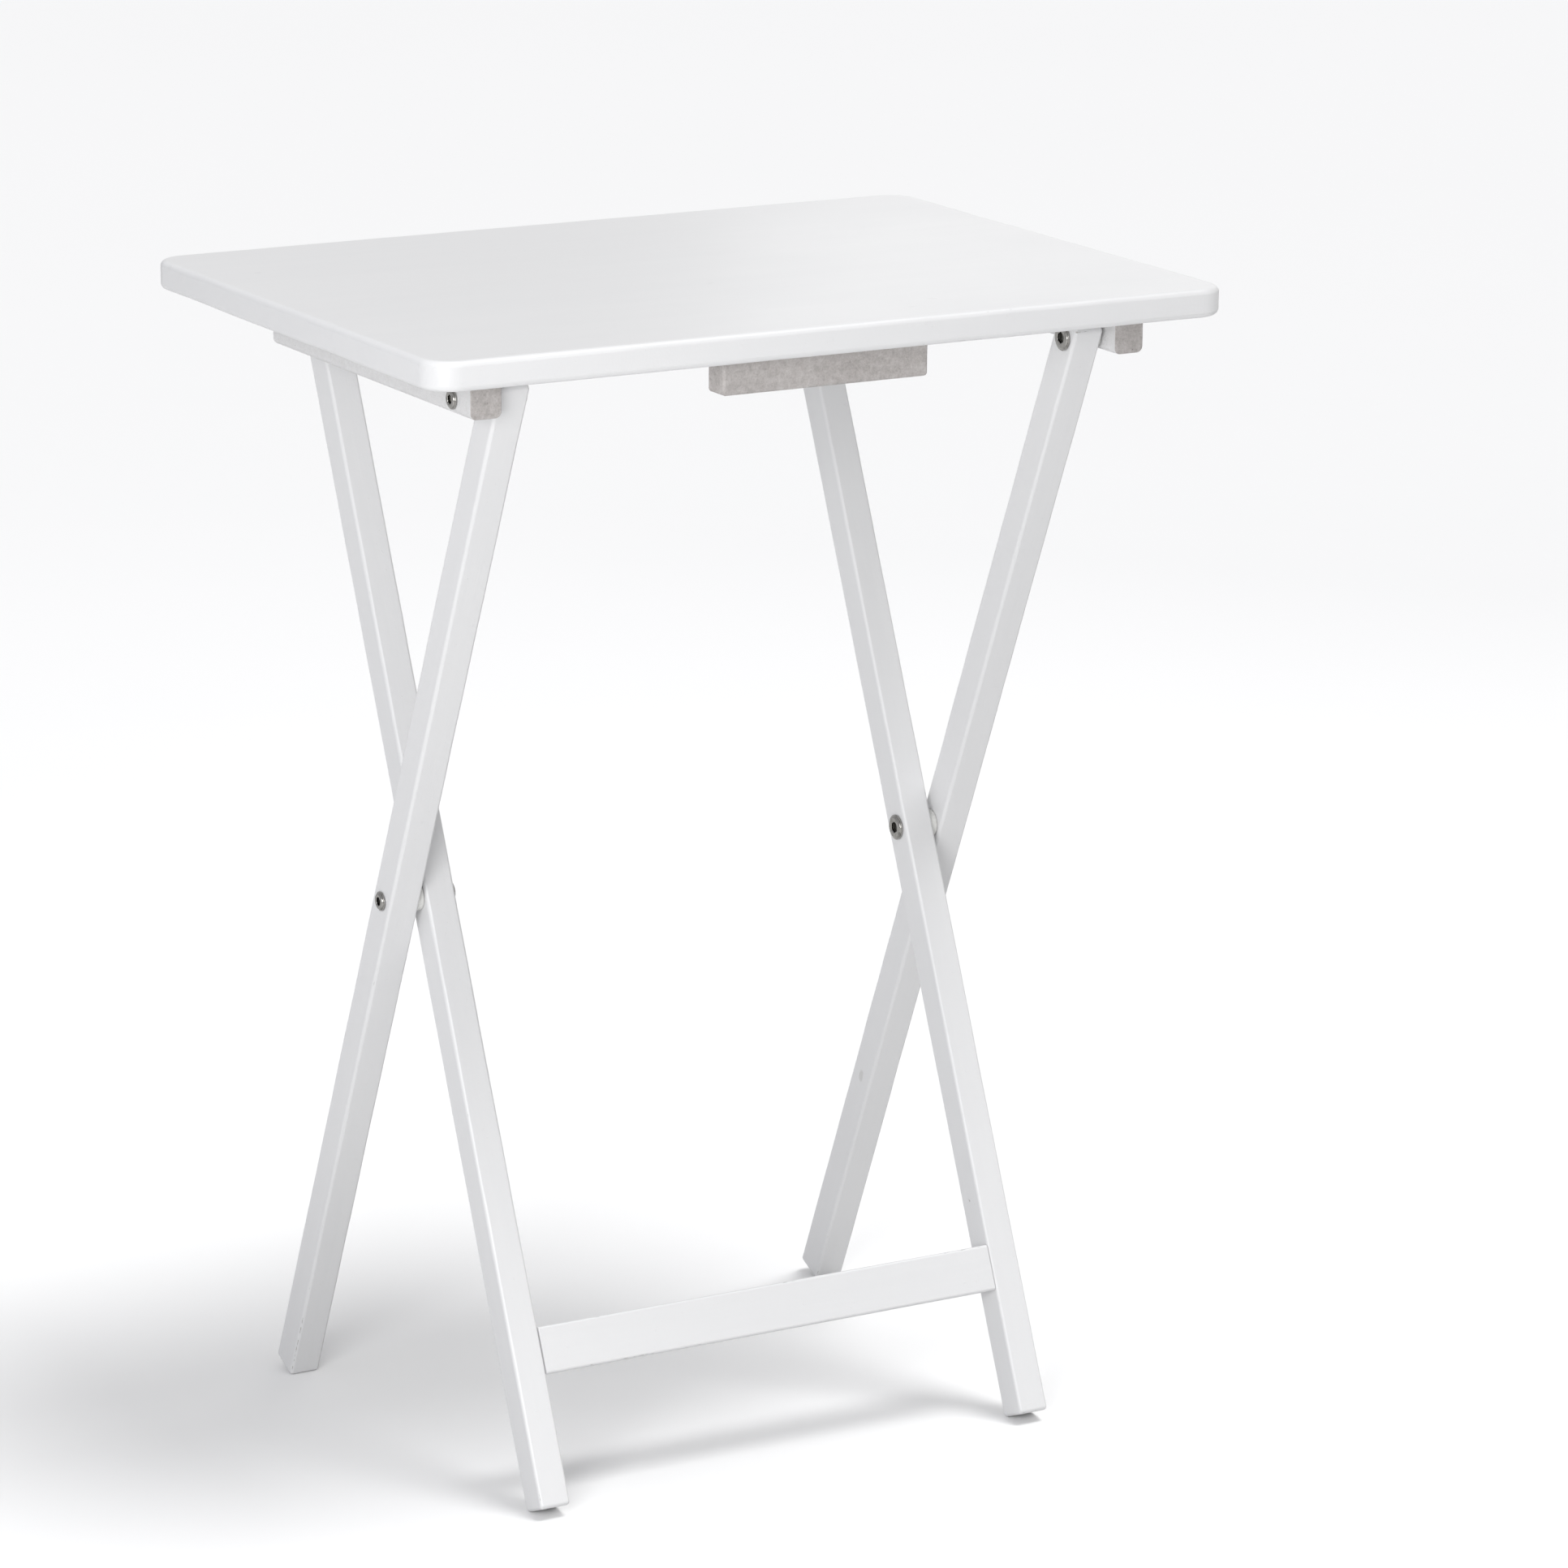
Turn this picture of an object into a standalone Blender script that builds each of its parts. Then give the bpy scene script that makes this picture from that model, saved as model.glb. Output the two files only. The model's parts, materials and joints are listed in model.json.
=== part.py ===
"""Folding tray table: a rounded rectangular top on two leg frames that cross like scissors.

Units are metres and +Z is up. The front long edge faces -Y, and the origin is on the floor under
the middle of the top. The table stands open, as it is used. The outer leg frame is the fixed one.
The inner frame turns on the two middle bolts, and the top tilts on the two upper bolts.
"""

import math

import bmesh
import bpy
from mathutils import Matrix

# The top.
TOP_LENGTH = 0.480
TOP_DEPTH = 0.350
TOP_THICKNESS = 0.016
TOP_HEIGHT = 0.650
TOP_CORNER_RADIUS = 0.017
TOP_EDGE_RADIUS = 0.003

# The legs. The upper pivot and the crossbar lie the same distance under the top.
LEG_WIDTH = 0.018
LEG_DEPTH = 0.020
LEG_EDGE_RADIUS = 0.002
LEG_END = 0.010
LEG_END_RADIUS = 0.0025
PIVOT_Y = -0.124
PIVOT_DROP = 0.014
CROSSBAR_REACH = 0.264
CROSSING_HEIGHT = 0.316

# How the pieces are stacked along X, from the end of the top inwards.
CLEAT_INSET = 0.036
CLEAT_WIDTH = 0.018
UPPER_GAP = 0.0024
MIDDLE_GAP = 0.0044

# The two cleats under the ends of the top.
CLEAT_HEIGHT = 0.022
CLEAT_FRONT_Y = -0.144
CLEAT_BACK_Y = 0.094
CLEAT_EDGE_RADIUS = 0.0035
CLEAT_SCREW_YS = (-0.098, -0.015, 0.068)

# The front block and the rear catch, both screwed to the middle of the underside.
BLOCK_LENGTH = 0.124
BLOCK_FRONT_Y = -0.1545
BLOCK_DEPTH = 0.0172
BLOCK_HEIGHT = 0.0205
BLOCK_EDGE_RADIUS = 0.0015
CATCH_WALL = 0.0135
CATCH_HEIGHT = 0.023
CATCH_EDGE_RADIUS = 0.001
BLOCK_SCREW_X = 0.042

# The bars between the inner legs.
STRETCHER_HEIGHT = 0.026
STRETCHER_THICKNESS = 0.015
STRETCHER_RISE = 0.0715
STRETCHER_EDGE_RADIUS = 0.0015
CROSSBAR_RADIUS = 0.008
TENON_RADIUS = 0.005
TENON_LENGTH = 0.012
DOWEL_RADIUS = 0.003
DOWEL_LENGTH = 0.024
DOWEL_SPREAD = 0.0065

# The hardware. The last three are shares of the stack that a bolt goes through.
HEAD_RADIUS = 0.0072
HEAD_HEIGHT = 0.0018
HEAD_LIP = 0.0003
HEAD_ROUND = 0.0020
SHANK_RADIUS = 0.0029
SOCKET_RADIUS = 0.0025
SOCKET_DEPTH = 0.0014
CAP_RADIUS = 0.0054
CAP_HEIGHT = 0.0019
CAP_LIP = 0.0006
SLEEVE_RADIUS = 0.0040
SLEEVE_BORE = 0.0031
SPACER_RADIUS = 0.0080
WASHER_RADIUS = 0.0070
SCREW_HEAD_RADIUS = 0.0038
SCREW_HEAD_HEIGHT = 0.0028
SCREW_RADIUS = 0.0020
SCREW_BITE = 0.010
SCREW_RECESS = 0.0005
SCREW_LIP = 0.0004
SLEEVE_START = 0.20
SHANK_END = 0.80
BORE_END = 0.85

# Clearances: between faces that touch, and round what sits in a hole.
FACE_GAP = 0.0003
HOLE_GAP = 0.0002

# Derived places.
UNDERSIDE = TOP_HEIGHT - TOP_THICKNESS
PIVOT_Z = UNDERSIDE - PIVOT_DROP
CROSSBAR_Y = PIVOT_Y + CROSSBAR_REACH
CROSSING_Y = PIVOT_Y + CROSSBAR_REACH / 2
ARM_RISE = PIVOT_Z - CROSSING_HEIGHT
ARM_LENGTH = math.hypot(CROSSBAR_REACH / 2, ARM_RISE)
LEAN = math.atan2(CROSSBAR_REACH / 2, ARM_RISE)
FOOT_RISE = (
    LEG_EDGE_RADIUS * (1 - math.cos(LEAN))
    + (LEG_DEPTH / 2 - LEG_EDGE_RADIUS) * math.sin(LEAN)
)
FOOT_LENGTH = (CROSSING_HEIGHT - FOOT_RISE) / math.cos(LEAN)

CLEAT_OUT = TOP_LENGTH / 2 - CLEAT_INSET
CLEAT_IN = CLEAT_OUT - CLEAT_WIDTH
OUTER_LEG_OUT = CLEAT_IN - UPPER_GAP
OUTER_LEG_IN = OUTER_LEG_OUT - LEG_WIDTH
INNER_LEG_OUT = OUTER_LEG_IN - MIDDLE_GAP
INNER_LEG_IN = INNER_LEG_OUT - LEG_WIDTH

SIDES = (("left", -1), ("right", 1))
ROUND_STEPS = 40


def clear_scene():
    for obj in list(bpy.data.objects):
        bpy.data.objects.remove(obj, do_unlink=True)


def make_material(name, colour, roughness, metallic=0.0):
    material = bpy.data.materials.new(name)
    material.use_nodes = True
    shader = material.node_tree.nodes["Principled BSDF"]
    shader.inputs["Base Color"].default_value = (*colour, 1.0)
    shader.inputs["Roughness"].default_value = roughness
    shader.inputs["Metallic"].default_value = metallic
    return material


def add_axis(name, location, tilt=0.0):
    """An empty on a joint's axis, which runs along X."""
    axis = bpy.data.objects.new(name, None)
    axis.empty_display_size = 0.03
    axis.location = location
    axis.rotation_euler = (tilt, 0.0, 0.0)
    bpy.context.scene.collection.objects.link(axis)
    return axis


def add_object(name, bm, material=None, parent=None, location=(0, 0, 0), turn=0.0):
    """Turns the bmesh into an object of the scene. turn is about the object's own Z axis."""
    bmesh.ops.recalc_face_normals(bm, faces=bm.faces)
    mesh = bpy.data.meshes.new(name)
    bm.to_mesh(mesh)
    bm.free()
    obj = bpy.data.objects.new(name, mesh)
    bpy.context.scene.collection.objects.link(obj)
    obj.parent = parent
    obj.location = location
    obj.rotation_euler = (0.0, 0.0, turn)
    if material:
        mesh.materials.append(material)
        mesh.shade_smooth()
        mesh.set_sharp_from_angle(angle=math.radians(35))
    return obj


def box(size_x, size_y, size_z):
    bm = bmesh.new()
    bmesh.ops.create_cube(bm, size=1.0)
    bmesh.ops.scale(bm, vec=(size_x, size_y, size_z), verts=bm.verts)
    return bm


def prism(outline, width):
    """A closed outline of (y, z) points, extruded along X and centred on X = 0."""
    bm = bmesh.new()
    face = bm.faces.new([bm.verts.new((-width / 2, y, z)) for y, z in outline])
    extruded = bmesh.ops.extrude_face_region(bm, geom=[face])
    moved = [item for item in extruded["geom"] if isinstance(item, bmesh.types.BMVert)]
    bmesh.ops.translate(bm, vec=(width, 0, 0), verts=moved)
    return bm


def turned(profile, ring=False):
    """A profile of (along X, radius) points, turned about X. A ring's profile closes on itself."""
    bm = bmesh.new()
    verts = [bm.verts.new((along, 0, radius)) for along, radius in profile]
    ends = verts[1:] + verts[:1] if ring else verts[1:]
    edges = [bm.edges.new(pair) for pair in zip(verts, ends)]
    bmesh.ops.spin(
        bm,
        geom=verts + edges,
        axis=(1, 0, 0),
        cent=(0, 0, 0),
        angle=math.tau,
        steps=ROUND_STEPS,
        use_merge=True,
    )
    bmesh.ops.remove_doubles(bm, verts=bm.verts, dist=1e-7)
    return bm


def quarter_round(x, radius, along, across, steps=6):
    """Profile points from full radius to the end face, with the arc's centre at x and radius."""
    turns = [math.pi / 2 * step / steps for step in range(steps + 1)]
    return [(x + along * math.sin(t), radius + across * math.cos(t)) for t in turns]


def ring(inner, outer, width):
    return turned([(0, inner), (0, outer), (width, outer), (width, inner)], ring=True)


def bevel_edges(bm, wanted, width, segments):
    edges = [edge for edge in bm.edges if wanted(*(vert.co for vert in edge.verts))]
    bmesh.ops.bevel(
        bm,
        geom=edges,
        offset=width,
        offset_type="OFFSET",
        segments=segments,
        profile=0.5,
        affect="EDGES",
    )


def round_edges(obj, width, segments=3):
    bevel = obj.modifiers.new("Rounded edges", "BEVEL")
    bevel.width = width
    bevel.segments = segments
    bevel.limit_method = "ANGLE"
    bevel.angle_limit = math.radians(40)


def cut(obj, name, bm, location):
    """Takes the shape in the bmesh, placed in the object's own frame, out of the object."""
    cutter = add_object(f"{obj.name}_{name}", bm, parent=obj, location=location)
    cutter.hide_render = True
    cutter.display_type = "WIRE"
    boolean = obj.modifiers.new(name, "BOOLEAN")
    boolean.operation = "DIFFERENCE"
    boolean.solver = "EXACT"
    boolean.object = cutter


def drill(radius, start, end):
    """A round cutter along X."""
    return turned([(start, 0), (start, radius), (end, radius), (end, 0)])


def screw_shape(length, gap=0.0):
    """An upright countersunk screw from its head's face at 0, or with a gap its hole."""
    mouth = -0.01 if gap else 0.0
    bm = turned(
        [
            (mouth, 0),
            (mouth, SCREW_HEAD_RADIUS + gap),
            (SCREW_LIP, SCREW_HEAD_RADIUS + gap),
            (SCREW_HEAD_HEIGHT, SCREW_RADIUS + gap),
            (length - SCREW_RADIUS + gap, SCREW_RADIUS + gap),
            (length + gap, 0.0),
        ]
    )
    bmesh.ops.rotate(bm, verts=bm.verts, matrix=Matrix.Rotation(-math.pi / 2, 3, "Y"))
    return bm


def add_screw(name, x, y, lower_face, hold, into, tray, steel):
    """A screw upwards through the holding piece into the top, with its hole in both."""
    foot = lower_face + SCREW_RECESS
    length = UNDERSIDE + SCREW_BITE - foot
    place = (x, y - PIVOT_Y, foot - PIVOT_Z)
    add_object(name, screw_shape(length), steel, tray, place)
    for target in (hold, into):
        offset = [a - b for a, b in zip(place, target.location)]
        cut(target, name, screw_shape(length, HOLE_GAP), offset)


def make_top(tray, paint):
    bm = box(TOP_LENGTH, TOP_DEPTH, TOP_THICKNESS)
    bevel_edges(bm, lambda a, b: abs(a.z - b.z) > 0.001, TOP_CORNER_RADIUS, 10)
    place = (0, -PIVOT_Y, TOP_HEIGHT - TOP_THICKNESS / 2 - PIVOT_Z)
    top = add_object("table_top", bm, paint, tray, place)
    round_edges(top, TOP_EDGE_RADIUS)
    return top


def under_top(bm, name, centre_x, front_y, depth, height, tray, material):
    """Places a bar of the given depth and height against the underside."""
    place = (
        centre_x,
        front_y + depth / 2 - PIVOT_Y,
        UNDERSIDE - (height + FACE_GAP) / 2 - PIVOT_Z,
    )
    return add_object(name, bm, material, tray, place)


def make_cleats(top, tray, primed, steel):
    length = CLEAT_BACK_Y - CLEAT_FRONT_Y
    height = CLEAT_HEIGHT - FACE_GAP
    for side, sign in SIDES:
        bm = box(CLEAT_WIDTH, length, height)
        bevel_edges(bm, lambda a, b: a.z + b.z < 0 and a.y != b.y, CLEAT_EDGE_RADIUS, 4)
        centre = sign * (CLEAT_OUT + CLEAT_IN) / 2
        cleat = under_top(
            bm, f"{side}_cleat", centre, CLEAT_FRONT_Y, length, CLEAT_HEIGHT, tray, primed
        )
        hole = drill(SLEEVE_RADIUS + HOLE_GAP, -CLEAT_WIDTH, CLEAT_WIDTH)
        cut(cleat, "pivot_hole", hole, (0, -cleat.location.y, -cleat.location.z))
        for number, y in enumerate(CLEAT_SCREW_YS, 1):
            name = f"{side}_cleat_screw_{number}"
            add_screw(name, centre, y, UNDERSIDE - CLEAT_HEIGHT, cleat, top, tray, steel)


def make_front_block(top, tray, primed, steel):
    bm = box(BLOCK_LENGTH, BLOCK_DEPTH, BLOCK_HEIGHT - FACE_GAP)
    block = under_top(
        bm, "front_block", 0, BLOCK_FRONT_Y, BLOCK_DEPTH, BLOCK_HEIGHT, tray, primed
    )
    round_edges(block, BLOCK_EDGE_RADIUS)
    for side, sign in SIDES:
        add_screw(
            f"front_block_screw_{side}",
            sign * BLOCK_SCREW_X,
            BLOCK_FRONT_Y + BLOCK_DEPTH / 2,
            UNDERSIDE - BLOCK_HEIGHT,
            block,
            top,
            tray,
            steel,
        )


def make_rear_catch(top, tray, primed, steel):
    """A seat that rests on the crossbar, and a wall behind it that stops it from sliding back."""
    seat_front = CROSSBAR_REACH - CROSSBAR_RADIUS
    wall_front = CROSSBAR_REACH + CROSSBAR_RADIUS + FACE_GAP
    wall_back = wall_front + CATCH_WALL
    seat_top = PIVOT_DROP - FACE_GAP
    seat_foot = CROSSBAR_RADIUS + FACE_GAP
    wall_foot = PIVOT_DROP - CATCH_HEIGHT
    outline = [
        (seat_front, seat_top),
        (seat_front, seat_foot),
        (wall_front, seat_foot),
        (wall_front, wall_foot),
        (wall_back, wall_foot),
        (wall_back, seat_top),
    ]
    catch = add_object("rear_catch", prism(outline, BLOCK_LENGTH), primed, tray)
    round_edges(catch, CATCH_EDGE_RADIUS, 2)
    for side, sign in SIDES:
        add_screw(
            f"rear_catch_screw_{side}",
            sign * BLOCK_SCREW_X,
            PIVOT_Y + (wall_front + wall_back) / 2,
            UNDERSIDE - CATCH_HEIGHT,
            catch,
            top,
            tray,
            steel,
        )


def leg_outline():
    """A leg seen from the side: square at the foot, and with rounded corners past the pivot."""
    half = LEG_DEPTH / 2
    across = half - LEG_END_RADIUS
    along = ARM_LENGTH + LEG_END - LEG_END_RADIUS
    back = quarter_round(along, across, LEG_END_RADIUS, LEG_END_RADIUS)
    outline = [(-half, -FOOT_LENGTH), (half, -FOOT_LENGTH)] + [(y, z) for z, y in back]
    return outline + [(-y, z) for z, y in reversed(back)]


def make_legs(prefix, out, inner, axis, paint):
    """Two legs whose holes for the middle bolts lie on the axis."""
    legs = {}
    for side, sign in SIDES:
        leg = add_object(
            f"{prefix}_leg_{side}",
            prism(leg_outline(), LEG_WIDTH),
            paint,
            axis,
            (sign * (out + inner) / 2, 0, 0),
        )
        round_edges(leg, LEG_EDGE_RADIUS)
        hole = drill(SLEEVE_RADIUS + HOLE_GAP, -LEG_WIDTH, LEG_WIDTH)
        cut(leg, "middle_hole", hole, (0, 0, 0))
        legs[sign] = leg
    return legs


def make_outer_frame(axis, paint):
    for leg in make_legs("outer", OUTER_LEG_OUT, OUTER_LEG_IN, axis, paint).values():
        hole = drill(SLEEVE_RADIUS + HOLE_GAP, -LEG_WIDTH, LEG_WIDTH)
        cut(leg, "upper_hole", hole, (0, 0, ARM_LENGTH))


def make_inner_frame(axis, paint, wood):
    legs = make_legs("inner", INNER_LEG_OUT, INNER_LEG_IN, axis, paint)
    body = INNER_LEG_IN - FACE_GAP
    end = body + TENON_LENGTH
    crossbar = turned(
        [
            (-end, 0),
            (-end, TENON_RADIUS),
            (-body, TENON_RADIUS),
            (-body, CROSSBAR_RADIUS),
            (body, CROSSBAR_RADIUS),
            (body, TENON_RADIUS),
            (end, TENON_RADIUS),
            (end, 0),
        ]
    )
    add_object("upper_crossbar", crossbar, paint, axis, (0, 0, ARM_LENGTH))

    stretcher_y = (STRETCHER_THICKNESS - LEG_DEPTH) / 2
    stretcher_z = STRETCHER_RISE + STRETCHER_HEIGHT / 2 - FOOT_LENGTH
    stretcher = add_object(
        "lower_stretcher",
        box(2 * body, STRETCHER_THICKNESS, STRETCHER_HEIGHT),
        paint,
        axis,
        (0, stretcher_y, stretcher_z),
    )
    round_edges(stretcher, STRETCHER_EDGE_RADIUS)

    in_leg = (DOWEL_LENGTH + FACE_GAP) / 2
    for side, sign in SIDES:
        leg = legs[sign]
        to_face = -sign * LEG_WIDTH / 2
        ends = sorted((2 * to_face, to_face + sign * (TENON_LENGTH + 2 * FACE_GAP)))
        cut(leg, "crossbar_hole", drill(TENON_RADIUS + HOLE_GAP, *ends), (0, 0, ARM_LENGTH))
        for number, shift in enumerate((DOWEL_SPREAD, -DOWEL_SPREAD), 1):
            name = f"stretcher_dowel_{side}_{number}"
            place = (sign * (INNER_LEG_IN - FACE_GAP / 2), stretcher_y, stretcher_z + shift)
            half = DOWEL_LENGTH / 2
            dowel = drill(DOWEL_RADIUS, -half, half)
            add_object(name, dowel, wood, axis, place)
            for target in (leg, stretcher):
                offset = [a - b for a, b in zip(place, target.location)]
                cut(target, name, drill(DOWEL_RADIUS + HOLE_GAP, -in_leg, in_leg), offset)


def add_bolt(prefix, axis, sign, inner, outer, steel):
    """A socket-head bolt from the inner face, and a capped sleeve nut from the outer face.

    Both are drawn for the right side, with X outwards from the inner face, and turned for the left.
    """
    stack = outer - inner
    place = (sign * inner, 0, 0)
    turn = 0.0 if sign > 0 else math.pi
    face = -FACE_GAP
    lip = face - HEAD_LIP
    rounding = quarter_round(
        lip, HEAD_RADIUS - HEAD_ROUND, HEAD_LIP - HEAD_HEIGHT, HEAD_ROUND
    )
    bolt = turned(
        [
            (stack * SHANK_END, 0),
            (stack * SHANK_END, SHANK_RADIUS),
            (face, SHANK_RADIUS),
            (face, HEAD_RADIUS),
            *rounding,
            (face - HEAD_HEIGHT, 0),
        ]
    )
    head = add_object(f"{prefix}_bolt", bolt, steel, axis, place, turn)
    socket = bmesh.new()
    bmesh.ops.create_cone(
        socket,
        cap_ends=True,
        segments=6,
        radius1=SOCKET_RADIUS,
        radius2=SOCKET_RADIUS,
        depth=2 * SOCKET_DEPTH,
        matrix=Matrix.Rotation(math.pi / 2, 4, "Y"),
    )
    cut(head, "socket", socket, (face - HEAD_HEIGHT, 0, 0))

    rim = stack + FACE_GAP
    cap = turned(
        [
            (stack * BORE_END, 0),
            (stack * BORE_END, SLEEVE_BORE),
            (stack * SLEEVE_START, SLEEVE_BORE),
            (stack * SLEEVE_START, SLEEVE_RADIUS),
            (rim, SLEEVE_RADIUS),
            (rim, CAP_RADIUS),
            *quarter_round(rim + CAP_LIP, 0, CAP_HEIGHT - CAP_LIP, CAP_RADIUS),
        ]
    )
    add_object(f"{prefix}_sleeve_nut", cap, steel, axis, place, turn)


def make_hardware(outer_axis, tray, steel, plastic):
    hole = SLEEVE_RADIUS + HOLE_GAP
    for side, sign in SIDES:
        turn = 0.0 if sign > 0 else math.pi
        add_bolt(f"middle_{side}", outer_axis, sign, INNER_LEG_IN, OUTER_LEG_OUT, steel)
        add_bolt(f"upper_{side}", tray, sign, OUTER_LEG_IN, CLEAT_OUT, steel)
        spacer = ring(hole, SPACER_RADIUS, MIDDLE_GAP - 2 * FACE_GAP)
        place = (sign * (INNER_LEG_OUT + FACE_GAP), 0, 0)
        add_object(f"middle_{side}_spacer", spacer, plastic, outer_axis, place, turn)
        washer = ring(hole, WASHER_RADIUS, UPPER_GAP - 2 * FACE_GAP)
        place = (sign * (OUTER_LEG_OUT + FACE_GAP), 0, 0)
        add_object(f"upper_{side}_washer", washer, plastic, tray, place, turn)


def main():
    clear_scene()
    paint = make_material("white_paint", (0.84, 0.84, 0.83), 0.35)
    primed = make_material("primed_wood", (0.66, 0.63, 0.58), 0.60)
    wood = make_material("bare_wood", (0.70, 0.53, 0.34), 0.60)
    steel = make_material("polished_steel", (0.72, 0.72, 0.72), 0.18, 1.0)
    plastic = make_material("pale_plastic", (0.80, 0.80, 0.78), 0.40)

    outer_axis = add_axis("outer_frame_axis", (0, CROSSING_Y, CROSSING_HEIGHT), LEAN)
    inner_axis = add_axis("leg_fold_axis", (0, CROSSING_Y, CROSSING_HEIGHT), -LEAN)
    tray = add_axis("top_tilt_axis", (0, PIVOT_Y, PIVOT_Z))

    make_outer_frame(outer_axis, paint)
    make_inner_frame(inner_axis, paint, wood)
    top = make_top(tray, paint)
    make_cleats(top, tray, primed, steel)
    make_front_block(top, tray, primed, steel)
    make_rear_catch(top, tray, primed, steel)
    make_hardware(outer_axis, tray, steel, plastic)


main()
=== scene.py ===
import json
import math

import bmesh
import bpy
from mathutils import Matrix, Vector, noise


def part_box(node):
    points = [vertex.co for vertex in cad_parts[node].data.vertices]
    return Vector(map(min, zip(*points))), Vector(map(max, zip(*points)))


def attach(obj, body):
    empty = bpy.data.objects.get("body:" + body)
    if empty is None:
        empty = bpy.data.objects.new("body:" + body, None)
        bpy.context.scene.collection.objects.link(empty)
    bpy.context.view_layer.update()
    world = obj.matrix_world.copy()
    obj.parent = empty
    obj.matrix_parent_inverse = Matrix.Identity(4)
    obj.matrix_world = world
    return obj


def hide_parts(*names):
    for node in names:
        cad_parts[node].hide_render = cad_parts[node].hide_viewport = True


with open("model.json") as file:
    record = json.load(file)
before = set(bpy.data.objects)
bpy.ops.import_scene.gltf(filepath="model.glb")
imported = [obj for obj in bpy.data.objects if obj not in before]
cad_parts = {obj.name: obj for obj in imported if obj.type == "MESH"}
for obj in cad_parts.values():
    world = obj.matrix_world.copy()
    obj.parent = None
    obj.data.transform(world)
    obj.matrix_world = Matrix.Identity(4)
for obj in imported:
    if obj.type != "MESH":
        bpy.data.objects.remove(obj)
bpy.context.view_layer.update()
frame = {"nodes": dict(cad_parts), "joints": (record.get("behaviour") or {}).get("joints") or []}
print("frame loaded:", len(frame["nodes"]), "parts")

joints = {joint["name"]: joint for joint in frame["joints"]}
crossing = Vector(joints["leg_fold"]["pos_m"])  # where the legs of a pair cross
upperPivot = Vector(joints["top_tilt"]["pos_m"])  # where the outer legs meet the cleats
arm = upperPivot - crossing
lean = math.atan2(-arm.y, arm.z)
armLength = arm.length
sides = (("left", -1), ("right", 1))


def addNode(tree, kind, inputs=None, **settings):
    node = tree.nodes.new(kind)
    for name, value in settings.items():
        setattr(node, name, value)
    for name, value in (inputs or {}).items():
        if isinstance(value, bpy.types.NodeSocket):
            tree.links.new(value, node.inputs[name])
        else:
            node.inputs[name].default_value = value
    return node


def addMath(tree, operation, first, second=0.0, clamp=False):
    inputs = {0: first, 1: second}
    return addNode(tree, "ShaderNodeMath", inputs, operation=operation, use_clamp=clamp).outputs[0]


def addRange(tree, value, low, high, newLow=0.0, newHigh=1.0, smooth=False):
    inputs = {"Value": value, 1: low, 2: high, 3: newLow, 4: newHigh}
    kind = "SMOOTHSTEP" if smooth else "LINEAR"
    return addNode(tree, "ShaderNodeMapRange", inputs, interpolation_type=kind).outputs[0]


def addMix(tree, share, first, second):
    node = addNode(tree, "ShaderNodeMix", data_type="RGBA")
    for index, value in ((0, share), (6, first), (7, second)):
        if isinstance(value, bpy.types.NodeSocket):
            tree.links.new(value, node.inputs[index])
        else:
            node.inputs[index].default_value = value
    return node.outputs[2]


def addNoise(tree, vector, scale, detail=3.0, roughness=0.5, distortion=0.0):
    inputs = {
        "Vector": vector,
        "Scale": scale,
        "Detail": detail,
        "Roughness": roughness,
        "Distortion": distortion,
    }
    return addNode(tree, "ShaderNodeTexNoise", inputs).outputs["Fac"]


# A shader group with named float and vector sockets. build returns its outputs by name.
def shaderGroup(name, inputs, outputs, build):
    tree = bpy.data.node_groups.new(name, "ShaderNodeTree")
    for label, value in inputs.items():
        kind = "NodeSocketVector" if value is None else "NodeSocketFloat"
        socket = tree.interface.new_socket(label, in_out="INPUT", socket_type=kind)
        if value is not None:
            socket.default_value = value
    for label in outputs:
        tree.interface.new_socket(label, in_out="OUTPUT", socket_type="NodeSocketFloat")
    start = tree.nodes.new("NodeGroupInput")
    end = tree.nodes.new("NodeGroupOutput")
    results = build(tree, start.outputs)
    for label in outputs:
        tree.links.new(results[label], end.inputs[label])
    return tree


# Fine lines along the piece, drawn on coordinates that are already stretched along it.
def buildGrain(tree, given):
    broad = addNoise(tree, given["Vector"], given["Line count"], 4.0, 0.55, 0.4)
    finer = addMath(tree, "MULTIPLY", given["Line count"], 3.1)
    fine = addNoise(tree, given["Vector"], finer, 3.0, 0.6)
    both = addMath(tree, "MULTIPLY", broad, 0.6)
    both = addMath(tree, "ADD", both, addMath(tree, "MULTIPLY", fine, 0.4))
    lines = addRange(tree, both, 0.36, 0.64, smooth=True)
    pores = addRange(tree, fine, 0.60, 0.72, smooth=True)
    return {"Lines": lines, "Pores": pores}


# Small chips and rubbed places where the piece's edgeWear attribute is high.
def buildEdgeWear(tree, given):
    patches = addNoise(tree, given["Vector"], given["Patch count"], 2.0, 0.5)
    crumbs = addNoise(tree, given["Vector"], given["Chip count"], 2.0, 0.55, 0.6)
    mixed = addMath(tree, "MULTIPLY", patches, crumbs)
    onEdge = addMath(tree, "MULTIPLY", mixed, given["Edge"])
    threshold = addMath(tree, "SUBTRACT", 0.46, given["Amount"])
    softer = addMath(tree, "ADD", threshold, 0.012)
    chips = addRange(tree, onEdge, threshold, softer)
    rubbed = addMath(tree, "MULTIPLY", given["Edge"], addRange(tree, patches, 0.42, 0.66, smooth=True))
    return {"Chips": chips, "Rubbed": rubbed}


# Slow changes of tone, and the fine texture of a sprayed coat.
def buildCoat(tree, given):
    tone = addNoise(tree, given["Vector"], given["Cloud count"], 3.0, 0.5)
    peel = addNoise(tree, given["Vector"], given["Peel count"], 2.0, 0.45)
    dust = addNoise(tree, given["Vector"], given["Nib count"], 1.0, 0.4)
    nibs = addRange(tree, dust, 0.74, 0.80, smooth=True)
    return {"Tone": addRange(tree, tone, 0.3, 0.7), "Peel": peel, "Nibs": nibs}


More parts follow.
